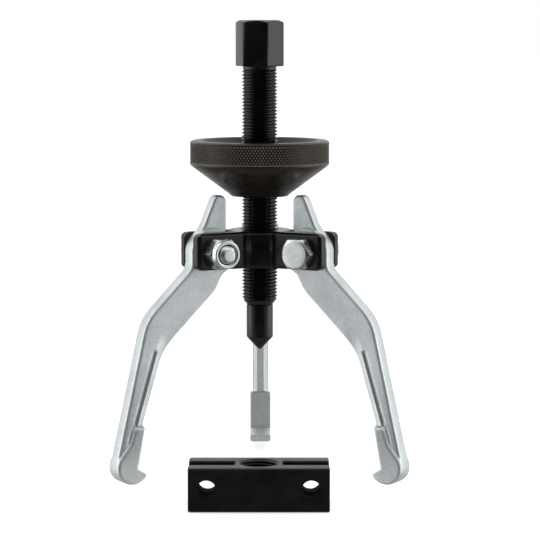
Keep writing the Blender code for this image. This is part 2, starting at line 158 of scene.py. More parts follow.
def smooth_step(value):
    value = np.clip(value, 0, 1)
    return value * value * (3 - 2 * value)


def fillet_drop(depth, radius):
    """How far a rounded edge has fallen at a distance in from the side."""
    inner = np.clip(radius - depth, 0, radius)
    return radius - np.sqrt(np.maximum(radius**2 - inner**2, 0))


PROBE = 0.02  # how far off an edge slab looks for the plate's own side
ROW_SHARE = 0.93  # a row's point stays where it is in by this share of the row's distance
LINE_STEP = 0.7  # spacing of the points on a line, in steps
LINE_CLEAR = 0.03  # points of a line nearer to the edge than this are left out
GRID_ROW = 0.87  # distance between the rows of the fill-in points, in steps
GRID_CLEAR = 0.35  # free space between those and the innermost row, in steps
GRID_APART = 0.45  # free space between those and the placed points, in steps
BATCH = 400  # placed points compared at a time
TRIANGLES_INSIDE = 1  # delaunay_2d_cdt's mode that leaves out what is outside the loops
MERGE = 1e-5
HOLE_EDGE = 0.985  # no triangle has its middle within this share of a hole's radius
WALL_EDGE = 1.02  # and no wall starts within this share of an open hole's radius


def slab(outline, height, step, rows, holes, lines=(), open_holes=()):
    """A plate of half thickness height(points) over a closed outline.

    rows are distances in from the edge at which a row of points follows it. lines are
    (path, closed), which the surface must follow. holes are circles (centre, radius, count).
    open_holes are circles (centre, radius) whose walls are left out.
    """
    loop = spaced(outline, step)
    groups = [loop]
    edges = [(i, (i + 1) % len(loop)) for i in range(len(loop))]
    total = len(loop)
    walls = [loop]
    for centre, radius, count in holes:
        ring = circle(centre, radius, count)
        edges += [(total + i, total + (i + 1) % count) for i in range(count)]
        groups.append(ring)
        walls.append(ring)
        total += count

    def clearance(points):
        depth = depth_inside(points, loop)
        for centre, radius, _ in holes:
            away = np.hypot(points[:, 0] - centre[0], points[:, 1] - centre[1]) - radius
            depth = np.minimum(depth, away)
        return depth

    kept = []
    for wall in walls:
        ahead = np.roll(wall, -1, axis=0) - np.roll(wall, 1, axis=0)
        ahead /= np.linalg.norm(ahead, axis=1)[:, None]
        normal = np.stack([-ahead[:, 1], ahead[:, 0]], 1)
        for side in (1, -1):
            if clearance(wall + normal * PROBE * side).mean() < 0:
                continue
            for row in rows:
                made = wall + normal * side * row
                kept.append(made[clearance(made) > row * ROW_SHARE])
    for line, closed in lines:
        points = spaced(line, step * LINE_STEP, closed)
        kept.append(points[clearance(points) > LINE_CLEAR])
    fixed = np.concatenate(kept)
    low, high = loop.min(0), loop.max(0)
    xs = np.arange(low[0] + step / 2, high[0], step)
    ys = np.arange(low[1] + step / 2, high[1], step * GRID_ROW)
    grid = np.array([(x + (j % 2) * step / 2, y) for j, y in enumerate(ys) for x in xs])
    grid = grid[clearance(grid) > max(rows) + step * GRID_CLEAR]
    near = np.full(len(grid), FAR)
    for start in range(0, len(fixed), BATCH):
        gap = grid[:, None, :] - fixed[None, start : start + BATCH, :]
        near = np.minimum(near, np.hypot(gap[..., 0], gap[..., 1]).min(1))
    grid = grid[near > step * GRID_APART]
    points = [Vector(point) for point in np.concatenate(groups + [fixed, grid])]
    flat, _, triangles, *_ = delaunay_2d_cdt(points, edges, [], TRIANGLES_INSIDE, MERGE)
    flat = np.array([tuple(p) for p in flat])
    triangles = np.array([t for t in triangles if len(t) == 3])
    middle = flat[triangles].mean(1)
    for centre, radius, _ in holes:
        away = np.hypot(middle[:, 0] - centre[0], middle[:, 1] - centre[1])
        outside = away >= radius * HOLE_EDGE
        triangles = triangles[outside]
        middle = middle[outside]
    half = height(flat)
    count = len(flat)
    verts = np.concatenate([np.column_stack([flat, half]), np.column_stack([flat, -half])])
    faces = [tuple(t) for t in triangles]
    faces += [(t[2] + count, t[1] + count, t[0] + count) for t in triangles]
    rim = {}  # edges of one triangle only, in order
    for t in triangles:
        for a, b in ((t[0], t[1]), (t[1], t[2]), (t[2], t[0])):
            if (b, a) in rim:
                del rim[(b, a)]
            else:
                rim[(a, b)] = True
    for a, b in rim:
        x, y = (flat[a] + flat[b]) / 2
        if not any(math.hypot(x - c[0], y - c[1]) < r * WALL_EDGE for c, r in open_holes):
            faces.append((a, a + count, b + count, b))
    return verts, faces


def turned(rings, columns=ROUND, loop=False):
    """A skin of quads through rings of (radius, height), down the outer side.

    Either may be an array with a value for each column.
    """
    angles = np.arange(columns) * 2 * math.pi / columns
    rows = []
    for radius, height in rings:
        radius = np.broadcast_to(np.asarray(radius, float), columns)
        height = np.broadcast_to(np.asarray(height, float), columns)
        rows.append(np.column_stack([radius * np.cos(angles), radius * np.sin(angles), height]))
    verts = np.concatenate(rows)
    faces = []
    count = len(rings)
    for i in range(count if loop else count - 1):
        a = i * columns
        b = ((i + 1) % count) * columns
        for j in range(columns):
            k = (j + 1) % columns
            faces.append((a + j, b + j, b + k, a + k))
    return verts, faces


def hexagon(columns, flats, flat_at, blunt):
    """Radius of a hexagon at each column; a corner that falls on a column is blunted."""
    angles = np.degrees(np.arange(columns) * 2 * math.pi / columns) - flat_at
    away = (angles + 30) % 60 - 30
    radius = flats / 2 / np.cos(np.radians(away))
    return np.where(np.abs(np.abs(away) - 30) < 0.01, radius - blunt, radius)


PITCH = 1.5
PROFILE_PHASES = (0, 0.10, 0.4375, 0.5625, 0.90, 1.0)  # corners of a thread's profile
ROW_PHASES = (0, 0.10, 0.2687, 0.4375, 0.5625, 0.7313, 0.90)  # with a row half way up each flank


def thread_profile(root, crest, phase):
    """Radius along one pitch: a narrow flat root, two flanks and a flat crest."""
    return np.interp(phase % 1.0, PROFILE_PHASES, (root, root, crest, crest, root, root))


def thread_rings(low, high, radius_at):
    """Rows of a right-hand thread from high to low, one turn of the helix for each pitch.

    radius_at(phase, height) gives the radius; rows past an end lie on that end.
    """
    turn = np.arange(ROUND + 1) / ROUND
    first = math.floor(low / PITCH) - 2
    last = math.ceil(high / PITCH) + 1
    rows = []
    for k in range(last, first - 1, -1):
        for u in reversed(ROW_PHASES):
            height = np.clip((k + u + turn) * PITCH, low, high)
            phase = height / PITCH - turn
            rows.append((radius_at(phase, height), height))
    return rows


def thread_skin(rows):
    """Quads through helical rows. The last column repeats the first one pitch higher."""
    angles = np.arange(ROUND + 1) * 2 * math.pi / ROUND
    verts = np.concatenate(
        [np.column_stack([r * np.cos(angles), r * np.sin(angles), z]) for r, z in rows]
    )
    wide = ROUND + 1
    faces = []
    for i in range(len(rows) - 1):
        a, b = i * wide, (i + 1) * wide
        for j in range(ROUND):
            faces.append((a + j, b + j, b + j + 1, a + j + 1))
    return verts, faces


def joined(*skins):
    verts, faces, base = [], [], 0
    for points, quads in skins:
        verts.append(np.asarray(points))
        faces += [tuple(int(i) + base for i in face) for face in quads]
        base += len(points)
    return np.concatenate(verts), faces


def skin_mesh(name, skin, weld, matrix, short_edge=None):
    """A mesh in metres of a skin in mm, welded, with its normals outward."""
    verts, faces = skin
    mesh = bpy.data.meshes.new(name)
    mesh.from_pydata([tuple(v) for v in verts], [], [tuple(int(i) for i in f) for f in faces])
    work = bmesh.new()
    work.from_mesh(mesh)
    bmesh.ops.remove_doubles(work, verts=work.verts, dist=weld)
    if short_edge:
        bmesh.ops.dissolve_degenerate(work, edges=work.edges, dist=short_edge)
    bmesh.ops.recalc_face_normals(work, faces=work.faces)
    work.to_mesh(mesh)
    work.free()
    mesh.transform(Matrix.Scale(MM, 4) @ matrix)
    return mesh


def add_object(name, data):
    made = bpy.data.objects.new(name, data)
    bpy.context.scene.collection.objects.link(made)
    return made


def add_piece(name, skin, finish, body, node, matrix, smooth=SMOOTH):
    """Make a piece of a skin in mm that rides on a body and stands for a CAD node."""
    mesh = skin_mesh(name, skin, WELD, matrix, SHORT_EDGE)
    finish_mesh(mesh, finish, smooth)
    piece = add_object(name, mesh)
    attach(piece, body)
    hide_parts(node)
    return piece


def finish_mesh(mesh, finish, smooth):
    mesh.materials.clear()
    mesh.materials.append(finish)
    mesh.shade_smooth()
    mesh.set_sharp_from_angle(angle=smooth)


def cut(piece, skin, matrix):
    """Take a closed skin in mm away from a piece."""
    tool = add_object("cutter", skin_mesh("cutter", skin, CUTTER_WELD, matrix))
    change = piece.modifiers.new("cut", "BOOLEAN")
    change.operation = "DIFFERENCE"
    change.solver = "EXACT"
    change.object = tool
    bpy.context.view_layer.update()
    solid = piece.evaluated_get(bpy.context.evaluated_depsgraph_get())
    made = bpy.data.meshes.new_from_object(solid)
    finish = piece.data.materials[0]
    piece.modifiers.clear()
    old = piece.data
    piece.data = made
    bpy.data.meshes.remove(old)
    bpy.data.objects.remove(tool)
    finish_mesh(made, finish, SMOOTH)


# ------------------------ materials


def new_material(name):
    made = bpy.data.materials.new(name)
    made.use_nodes = True
    tree = made.node_tree
    return made, tree, tree.nodes["Principled BSDF"]


def add_node(tree, kind, **settings):
    made = tree.nodes.new(kind)
    for name, value in settings.items():
        setattr(made, name, value)
    return made


def noise(tree, where, scale, detail, roughness=0.55):
    made = add_node(tree, "ShaderNodeTexNoise")
    made.inputs["Scale"].default_value = scale
    made.inputs["Detail"].default_value = detail
    made.inputs["Roughness"].default_value = roughness
    tree.links.new(where, made.inputs["Vector"])
    return made.outputs["Fac"]


def remap(tree, value, low, high, to_low, to_high):
    made = add_node(tree, "ShaderNodeMapRange")
    for name, number in zip(
        ("From Min", "From Max", "To Min", "To Max"), (low, high, to_low, to_high)
    ):
        made.inputs[name].default_value = number
    tree.links.new(value, made.inputs["Value"])
    return made.outputs["Result"]


def ramp(tree, value, stops):
    made = add_node(tree, "ShaderNodeValToRGB")
    elements = made.color_ramp.elements
    while len(elements) < len(stops):
        elements.new(0.5)
    for element, (position, colour) in zip(elements, stops):
        element.position = position
        element.color = (*colour, 1.0)
    tree.links.new(value, made.inputs["Fac"])
    return made.outputs["Color"]


def bump(tree, height, depth_mm, strength, normal=None):
    made = add_node(tree, "ShaderNodeBump")
    made.inputs["Strength"].default_value = strength
    made.inputs["Distance"].default_value = depth_mm * MM
    tree.links.new(height, made.inputs["Height"])
    if normal:
        tree.links.new(normal, made.inputs["Normal"])
    return made.outputs["Normal"]


def split_xyz(tree, vector):
    made = add_node(tree, "ShaderNodeSeparateXYZ")
    tree.links.new(vector, made.inputs["Vector"])
    return made


def lesser(tree, one, two):
    made = add_node(tree, "ShaderNodeMath", operation="MINIMUM")
    tree.links.new(one, made.inputs[0])
    tree.links.new(two, made.inputs[1])
    return made.outputs[0]


def mix(tree, factor, colour, other):
    """Colour at factor 0 from a socket, at factor 1 a plain colour."""
    made = add_node(tree, "ShaderNodeMix", data_type="RGBA")
    tree.links.new(factor, made.inputs["Factor"])
    tree.links.new(colour, made.inputs["A"])
    made.inputs["B"].default_value = (*other, 1)
    return made.outputs["Result"]


def object_place(tree):
    return add_node(tree, "ShaderNodeTexCoord").outputs["Object"]


def turned_place(tree):
    """Object coordinates with the angle round the screw left out: (radius, 0, height)."""
    split = split_xyz(tree, object_place(tree))
    shifted = add_node(tree, "ShaderNodeMath", operation="SUBTRACT")
    tree.links.new(split.outputs["Y"], shifted.inputs[0])
    shifted.inputs[1].default_value = AXIS.y * MM
    flat = add_node(tree, "ShaderNodeCombineXYZ")
    tree.links.new(split.outputs["X"], flat.inputs["X"])
    tree.links.new(shifted.outputs[0], flat.inputs["Y"])
    radius = add_node(tree, "ShaderNodeVectorMath", operation="LENGTH")
    tree.links.new(flat.outputs["Vector"], radius.inputs[0])
    out = add_node(tree, "ShaderNodeCombineXYZ")
    tree.links.new(radius.outputs["Value"], out.inputs["X"])
    tree.links.new(split.outputs["Z"], out.inputs["Z"])
    return out.outputs["Vector"]


def black_oxide(
    name, roughness=(0.16, 0.27), grain=0.006, tint=(0.0052, 0.0044, 0.0048), gloss=0.5
):
    """Hot blacked steel under oil: a black gloss coat with faint mottling."""
    made, tree, shader = new_material(name)
    where = object_place(tree)
    patches = noise(tree, where, 130, 4)
    fine = noise(tree, where, 1500, 2)
    dark = tuple(c * 0.55 for c in tint)
    light = tuple(c * 1.7 for c in tint)
    colour = ramp(tree, patches, [(0.3, dark), (0.55, tint), (0.75, light)])
    tree.links.new(colour, shader.inputs["Base Color"])
    tree.links.new(remap(tree, patches, 0.3, 0.7, *roughness), shader.inputs["Roughness"])
    tree.links.new(bump(tree, fine, grain, 0.5), shader.inputs["Normal"])
    shader.inputs["IOR"].default_value = 1.5
    shader.inputs["Specular IOR Level"].default_value = gloss
    shader.inputs["Specular Tint"].default_value = (1.0, 0.96, 0.97, 1.0)
    return made


RIM_TALL = 11.2
WEAR_AND_GLINT_RADII = (30.62, 30.95)  # radii between which the tips of the knurl turn lighter: partly wear, partly painted glints
WEAR_AND_GLINT_BELOW = (1.8, 1.5)  # the same at the upper end of the knurl, down from the rim's top
WEAR_AND_GLINT_ABOVE = (1.1, 1.4)  # and at its lower end, up from the rim's foot


def phosphate(name):
    """Dark turned steel with a satin brownish coat, rings from the tool, and knurl tips painted
    lighter for wear and for painted glints.
    """
    made, tree, shader = new_material(name)
    where = object_place(tree)
    rings = noise(tree, turned_place(tree), 2600, 1)
    broad = noise(tree, turned_place(tree), 500, 2)
    patches = noise(tree, where, 160, 4)
    colour = ramp(
        tree, patches, [(0.3, (0.0062, 0.0050, 0.0038)), (0.7, (0.0105, 0.0085, 0.0065))]
    )
    split = split_xyz(tree, turned_place(tree))
    tall = split.outputs["Z"]
    rim_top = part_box("cone_nut")[1][2]
    rim_foot = rim_top - RIM_TALL * MM
    # the tips of the knurl are painted lighter: partly wear, partly painted glints in place of
    # highlights
    tips = remap(tree, split.outputs["X"], WEAR_AND_GLINT_RADII[0] * MM, WEAR_AND_GLINT_RADII[1] * MM, 0.0, 1.0)
    below = remap(tree, tall, *(rim_top - drop * MM for drop in WEAR_AND_GLINT_BELOW), 1.0, 0.0)
    above = remap(tree, tall, *(rim_foot + rise * MM for rise in WEAR_AND_GLINT_ABOVE), 0.0, 1.0)
    wear_and_glint = lesser(tree, tips, lesser(tree, below, above))
    mixed = mix(tree, wear_and_glint, colour, (0.105, 0.091, 0.071))
    tree.links.new(mixed, shader.inputs["Base Color"])
    tree.links.new(remap(tree, broad, 0.3, 0.7, 0.22, 0.34), shader.inputs["Roughness"])
    normal = bump(tree, rings, 0.012, 0.6)
    normal = bump(tree, noise(tree, where, 1800, 2), 0.006, 0.4, normal)
    tree.links.new(normal, shader.inputs["Normal"])
    shader.inputs["IOR"].default_value = 1.5
    shader.inputs["Specular Tint"].default_value = (1.0, 0.93, 0.83, 1.0)
    return made


ZINC_TONES = (
    (0.28, (0.60, 0.650, 0.655)),
    (0.50, (0.72, 0.765, 0.770)),
    (0.75, (0.81, 0.845, 0.850)),
)


def forged_zinc(name, shade=1.0):
    """Zinc plate over a forging: cool light grey, finely pitted, with soft clouds."""
    made, tree, shader = new_material(name)
    where = object_place(tree)
    clouds = noise(tree, where, 70, 5, 0.6)
    grain = noise(tree, where, 900, 3, 0.6)
    dimples = noise(tree, where, 420, 2)
    tones = [(place, tuple(shade * c for c in tone)) for place, tone in ZINC_TONES]
    pits = ramp(tree, grain, [(0.3, (0.72, 0.72, 0.72)), (0.6, (1.0, 1.0, 1.0))])
    mixed = add_node(tree, "ShaderNodeMix", data_type="RGBA", blend_type="MULTIPLY")
    mixed.inputs["Factor"].default_value = 0.5
    tree.links.new(ramp(tree, clouds, tones), mixed.inputs["A"])
    tree.links.new(pits, mixed.inputs["B"])
    tree.links.new(mixed.outputs["Result"], shader.inputs["Base Color"])
    tree.links.new(remap(tree, clouds, 0.3, 0.7, 0.38, 0.28), shader.inputs["Roughness"])
    normal = bump(tree, dimples, 0.035, 0.5)
    normal = bump(tree, grain, 0.02, 0.45, normal)
    tree.links.new(normal, shader.inputs["Normal"])
    shader.inputs["Metallic"].default_value = 0.7
    return made


def bright_zinc(name):
    """Bright passivated zinc on machined steel."""
    made, tree, shader = new_material(name)
    where = object_place(tree)
    patches = noise(tree, where, 300, 3)
    colour = ramp(tree, patches, [(0.3, (0.74, 0.79, 0.77)), (0.7, (0.92, 0.95, 0.93))])
    tree.links.new(colour, shader.inputs["Base Color"])
    tree.links.new(remap(tree, patches, 0.3, 0.7, 0.22, 0.34), shader.inputs["Roughness"])
    tree.links.new(bump(tree, noise(tree, where, 1400, 2), 0.006, 0.4), shader.inputs["Normal"])
    shader.inputs["Metallic"].default_value = 1.0
    return made


def nylon(name):
    """Dull dark nylon of the locking rings."""
    made, tree, shader = new_material(name)
    where = object_place(tree)
    patches = noise(tree, where, 600, 3)
    colour = ramp(tree, patches, [(0.3, (0.012, 0.017, 0.024)), (0.7, (0.025, 0.033, 0.045))])
    tree.links.new(colour, shader.inputs["Base Color"])
    tree.links.new(remap(tree, patches, 0.3, 0.7, 0.42, 0.6), shader.inputs["Roughness"])
    tree.links.new(bump(tree, patches, 0.01, 0.4), shader.inputs["Normal"])
    return made


BLACK = black_oxide("black_oxide_gloss")
SCREW_BLACK = black_oxide("black_oxide_screw", (0.13, 0.21), 0.003, (0.0042, 0.0038, 0.0045))
BAR_BLACK = black_oxide("black_oxide_bar", (0.32, 0.40), 0.006, (0.0080, 0.0058, 0.0066), 0.42)
# a dull, darker black for the cross holes' walls: painted shade in the holes
HOLE_SHADE_BLACK = black_oxide("black_oxide_dull_hole_shade", (0.7, 0.8), 0.006, (0.004, 0.0035, 0.004), 0.05)
BROWN = phosphate("phosphated_steel")
FORGED = forged_zinc("forged_zinc")
# a darker copy of the forged zinc, for painted shade in the jaws' grooves
PAINTED_GROOVE_SHADE = forged_zinc("forged_zinc_groove_painted_shade", 0.8)
BRIGHT = bright_zinc("bright_zinc")
NYLON = nylon("dark_nylon")


# ------------------------ forcing screw


SCREW_CREST = 8.0
SCREW_ROOT = 7.08
HEX_FLATS = 19.0
HEX_TALL = 20.3
HEX_CHAMFER = (8.9, 1.1)  # radius of the round top face, and the fall to the corners
HEX_FLAT_AT = 18.75  # direction that a flat faces, in degrees
NECK = (7.45, 1.1)  # radius and height of the plain neck under the hexagon
THREAD_FADE = 1.3  # height over which the thread runs out below the neck
END_SLOPE = 0.8  # rise of the radius for each mm up from the screw's lower end
POINT_SHANK = 6.0
POINT_TALL = 5.5
COLLAR_UP = 20.2  # top of the point's shank above its tip
STEM = 3.0
STEM_GROOVE = (2.2, 4.6, 6.4)  # radius, and upper and lower side down from the stem's top
STEM_BORE = (3.4, 14.6, 16.3)  # radius, and ends of its wall and its cone above the screw's end
BORE_GROOVE = (4.4, 7.2, 9.0)  # radius, and lower and upper side above the screw's end


def upright(height=0.0):
    """Places a skin made round the origin on the screw's axis."""
    return Matrix.Translation((AXIS.x, AXIS.y, height))


def build_screw():
    low, high = box_mm("forcing_screw")
    end, top = low.z, high.z
    hex_end = top - HEX_TALL
    neck_end = hex_end - NECK[1]

    def radius_at(phase, height):
        made = thread_profile(SCREW_ROOT, SCREW_CREST, phase)
        fade = smooth_step((height - neck_end + THREAD_FADE) / THREAD_FADE)
        made = made + (NECK[0] - made) * fade
        return np.minimum(made, POINT_SHANK + (height - end) * END_SLOPE)

    thread = thread_skin(thread_rings(end, neck_end, radius_at))
    corner = hexagon(ROUND, HEX_FLATS, HEX_FLAT_AT, 0.12)
    slope = HEX_CHAMFER[1] / (HEX_FLATS / math.sqrt(3) - HEX_CHAMFER[0])
    shoulder = top - np.maximum(corner - HEX_CHAMFER[0], 0) * slope
    rings = [
        (0.0, top),
        (HEX_CHAMFER[0] - 0.35, top),
        (HEX_CHAMFER[0] - 0.05, top - 0.04),
        (corner - 0.12, shoulder),
        (corner, shoulder - 0.22),
        (corner, hex_end + 0.45),
        (corner - 0.3, hex_end + 0.05),
        (corner - 0.6, hex_end),
        (NECK[0] + 0.5, hex_end),
        (NECK[0] + 0.12, hex_end - 0.12),
        (NECK[0], hex_end - 0.5),
        (NECK[0], neck_end),
    ]
    bore, wall_end, cone_end = STEM_BORE
    groove, groove_low, groove_high = BORE_GROOVE
    under = [
        (POINT_SHANK, end),
        (bore + 0.3, end),
        (bore, end + 0.3),
        (bore, end + groove_low),
        (groove, end + groove_low),
        (groove, end + groove_high),
        (bore, end + groove_high),
        (bore, end + wall_end),
        (0.0, end + cone_end),
    ]
    skin = joined(turned(rings), thread, turned(under))
    add_piece(
        "forcing_screw_m16", skin, SCREW_BLACK, "screw", "forcing_screw", upright()
    )


def build_point():
    low, high = box_mm("centre_point")
    tip, top = low.z, high.z
    shoulder = tip + POINT_TALL
    collar = tip + COLLAR_UP
    groove, groove_high, groove_low = STEM_GROOVE
    rings = [
        (0.0, top),
        (STEM - 0.4, top),
        (STEM, top - 0.4),
        (STEM, top - groove_high),
        (groove, top - groove_high),
        (groove, top - groove_low),
        (STEM, top - groove_low),
        (STEM, collar),
        (POINT_SHANK - 0.45, collar),
        (POINT_SHANK - 0.1, collar - 0.12),
        (POINT_SHANK, collar - 0.5),
        (POINT_SHANK, shoulder + 0.35),
        (POINT_SHANK - 0.09, shoulder + 0.1),
        (POINT_SHANK - 0.35, shoulder - 0.3),
        (0.95, tip + 0.28),
        (0.7, tip + 0.06),
        (0.4, tip),
        (0.0, tip),
    ]
    add_piece(
        "centre_point_pilot", turned(rings), SCREW_BLACK, "tip", "centre_point",
        upright(),
    )


# ------------------------ cone nut


KNURLS = 137
KNURL_ROW = 2.18  # height of one diamond
KNURL_PARTS = 4  # columns across a diamond, and rows up it
KNURL_DEPTH = 0.55
KNURL_TOP = 0.95  # from the rim's top down to the knurl
KNURL_FOOT = 0.6  # least height left plain under it
TIP_CUT = 1.08  # height of a whole diamond over that of one with its tip cut flat
RIM_RADIUS = 31.0
NUT_BORE = 8.25
DISH_DEPTH = 3.0
CONE_ROWS = 6  # rows of faces down the cone, and up the bore


def build_cone_nut():
    low, high = box_mm("cone_nut")
    top, bottom = high.z, low.z
    rim_end = top - RIM_TALL
    columns = KNURLS * KNURL_PARTS
    across = np.arange(columns) / KNURL_PARTS
    band_top = top - KNURL_TOP
    rows = int((band_top - rim_end - KNURL_FOOT) / (KNURL_ROW / KNURL_PARTS))
    knurled = []
    for i in range(rows + 1):
        drop = i * KNURL_ROW / KNURL_PARTS
        down = drop / KNURL_ROW
        one = np.abs((across + down) % 1.0 - 0.5) * 2
        two = np.abs((across - down) % 1.0 - 0.5) * 2
        ridge = np.minimum((1 - np.maximum(one, two)) * TIP_CUT, 1.0)
        edge = min(1.0, i / 2, (rows - i) / 2)
        depth = KNURL_DEPTH * (1 - ridge) * edge
        knurled.append((RIM_RADIUS - depth, band_top - drop))
    last = band_top - rows * KNURL_ROW / KNURL_PARTS
    dish = top - DISH_DEPTH
    rings = [
        (NUT_BORE, dish - 0.7),
        (8.9, dish - 0.05),
        (9.3, dish),
        (22.6, dish),
        (23.6, dish + 0.12),
        (24.5, dish + 0.5),
        (26.0, top - 0.5),
        (26.35, top - 0.1),
        (26.8, top),
        (29.3, top),
        (29.9, top - 0.08),
        (30.6, top - 0.45),
        (30.93, top - 0.75),
    ]
    rings += knurled
    rings += [
        (30.9, (last + rim_end) / 2),
        (30.6, rim_end + 0.12),
        (30.25, rim_end),
        (30.0, rim_end - 0.35),
    ]
    cone_top, cone_end = np.array((29.9, rim_end - 0.5)), np.array((13.35, bottom + 0.8))
    for i in range(CONE_ROWS + 1):
        rings.append(tuple(cone_top + (cone_end - cone_top) * (i / CONE_ROWS)))
    rings += [
        (13.0, bottom + 0.35),
        (12.5, bottom + 0.06),
        (12.0, bottom),
        (9.2, bottom),
        (8.8, bottom + 0.05),
        (NUT_BORE, bottom + 0.6),
    ]
    bore_low, bore_tall = bottom + 0.6, dish - 0.7 - bottom - 0.6
    rings += [(NUT_BORE, bore_low + bore_tall * i / CONE_ROWS) for i in range(1, CONE_ROWS)]
    add_piece(
        "cone_nut_knurled", turned(rings, columns, loop=True), BROWN, "cone", "cone_nut",
        upright(), math.radians(25),
    )


# ------------------------ jaws


# Corners of a jaw as (distance from the screw's axis, height, fillet). The first 8 run from
# the tip of the tail down the outer side to the back of the hook.
JAW_OUTLINE = [
    (18.6, 124.6, 2.6),
    (23.8, 124.6, 3.0),
    (29.6, 111.4, 10.0),
    (36.0, 103.0, 9.0),
    (36.0, 93.1, 5.0),
    (58.4, 71.6, 22.0),
    (75.45, 0.0, 7.55),
    (61.93, 0.0, 7.3),
    (59.65, 3.1, 0.25),
    (59.2, 4.2, 0.3),
    (63.5, 6.8, 0.6),
    (60.0, 25.0, 30.0),
    (49.2, 59.6, 25.0),
    (24.6, 82.8, 12.0),
    (20.9, 89.8, 2.5),
    (15.0, 92.8, 9.4),
    (15.0, 104.4, 8.8),
    (18.6, 107.5, 1.5),
]
OUTER_CORNERS = 8
# Corners of the region above the hook's thick head. The last 5 aren't on the head's edge.
ABOVE_HEAD = [
    (65.0, 25.6, 3.0),
    (67.6, 17.6, 10.0),
    (73.6, 10.4, 4.0),
    (74.6, 4.0, 0.0),
    (90.0, 4.0, 0.0),
    (90.0, 140.0, 0.0),
    (0.0, 140.0, 0.0),
    (0.0, 25.6, 0.0),
]
OFF_EDGE = 5
STEM_EDGE = ((60.0, 25.0), (49.2, 59.6))  # inner edge of the stem, up from the head
SLOPE_END = (27.0, 43.0)  # along the edge from the head, where the slope fades out
GROOVE_END = 33.5
GROOVE_HALF = 1.05
GROOVE_MIDDLE = 4.2  # in from the edge
GROOVE_DEPTH = 1.15
GROOVE_RUN_OUT = 1.2  # length over which it ends
GROOVE_RIM = 0.25  # its sides reach out by this share of its half width
EDGE_HALF = 1.75  # half thickness at the stem's inner edge, and its rise for each mm in
EDGE_SLOPE = 0.5
JAW_HALF = 3.7  # half thicknesses of the stem, of the hook's head and of the tail
HEAD_HALF = 4.9
TAIL_HALF = 2.8
TAIL_UP = 2.2  # the tail starts no lower than this above the pivot
TAIL_STEP = (-0.1, 0.4)  # beyond the round of the eye, where the step down to it lies
EYE_RADIUS = 10.5
JAW_EDGE = 0.55  # rounding of the edges, and of those along the outer side
OUTER_EDGE = 1.1
OUTER_BAND = 2.5  # distance from the outer side over which one turns into the other
SHOULDER = 1.5  # width of the step up to the head
SHOULDER_SHAPE = 2.2  # power of its curve
PIVOT_R = 25.5
PIVOT_Z = 99.6
BOLT_HOLE = 4.2


def build_jaws():
    outline = corner_path(JAW_OUTLINE)
    loop = spaced(outline, LOOP_STEP)
    outer_side = corner_path(JAW_OUTLINE[:OUTER_CORNERS], False)
    above = corner_path(ABOVE_HEAD)
    start, end = (np.array(point) for point in STEM_EDGE)
    along = (end - start) / np.linalg.norm(end - start)
    inward = np.array((along[1], -along[0]))

    def height(points):
        # the stem, with its inner edge sloping away beside a groove
        run = (points - start) @ along
        reach = (points - start) @ inward
        depth, _ = path_distance(points, loop)
        below = smooth_step((SLOPE_END[1] - run) / (SLOPE_END[1] - SLOPE_END[0]))
        edge = EDGE_HALF + EDGE_SLOPE * np.maximum(reach, 0)
        half = JAW_HALF + (np.minimum(JAW_HALF, edge) - JAW_HALF) * below
        across = smooth_step(1 + GROOVE_RIM - np.abs(reach - GROOVE_MIDDLE) / GROOVE_HALF)
        half = half - GROOVE_DEPTH * across * smooth_step((GROOVE_END - run) / GROOVE_RUN_OUT)
        # the tail, thinner than the eye
        away = np.hypot(points[:, 0] - PIVOT_R, points[:, 1] - PIVOT_Z)
        high = points[:, 1] > PIVOT_Z + TAIL_UP
        past = (away - EYE_RADIUS - TAIL_STEP[0]) / (TAIL_STEP[1] - TAIL_STEP[0])
        tail = smooth_step(past) * high
        half = half + (TAIL_HALF - half) * tail
        # the thick head of the hook, below its shoulder
        into = np.clip(-depth_inside(points, above) / SHOULDER, 0, 1)
        half = half + (HEAD_HALF - half) * (1 - (1 - into) ** SHOULDER_SHAPE)
        outside, _ = path_distance(points, outer_side, False)
        radius = JAW_EDGE + (OUTER_EDGE - JAW_EDGE) * smooth_step(OUTER_BAND - outside)
        return half - fillet_drop(depth, radius)

    # rows across the shoulder, the groove and the step down to the tail
    lines = []
    for part in (-1.0, -0.75, -0.5, -0.3, -0.15, 0.0, 0.1):
        lines.append((offset_path(above[:-OFF_EDGE], part * SHOULDER), False))
    for offset in (-1.1, -0.7, -0.25, 0.25, 0.7, 1.1):
        reach = inward * (GROOVE_MIDDLE + offset)
        lines.append((np.array((start + reach, start + reach + along * GROOVE_END)), False))
    for shift in (TAIL_STEP[0], sum(TAIL_STEP) / 2, TAIL_STEP[1]):
        lines.append((circle((PIVOT_R, PIVOT_Z), EYE_RADIUS + shift, BORE_COLUMNS), True))
    skin = slab(
        outline,
        height,
        step=0.8,
        rows=(0.08, 0.27, 0.55, 1.1),
        lines=lines,
        holes=[((PIVOT_R, PIVOT_Z), BOLT_HOLE, 36)],
    )
    for name, degrees in ARMS.items():
        matrix = jaw_matrix(degrees)
        jaw = add_piece(
            f"jaw_{name}_forged", skin, FORGED, f"{name}_jaw", f"jaw_{name}", matrix
        )
        # the groove's faces get a darker copy of the zinc: painted shade in the groove
        jaw.data.materials.append(PAINTED_GROOVE_SHADE)
        back = matrix.inverted()
        for face in jaw.data.polygons:
            local = back @ (face.center / MM)
            point = np.array((local.x, local.y)) - start
            beside = abs(point @ inward - GROOVE_MIDDLE) < GROOVE_HALF * 0.95
            if beside and 0.4 < point @ along < GROOVE_END - 0.3 and abs(local.z) > 1.0:
                face.material_index = 1


def offset_path(path, shift):
    """A path moved to its left by shift."""
    ahead = np.gradient(path, axis=0)
    ahead /= np.maximum(np.linalg.norm(ahead, axis=1)[:, None], 1e-9)
    return path + np.stack([-ahead[:, 1], ahead[:, 0]], 1) * shift


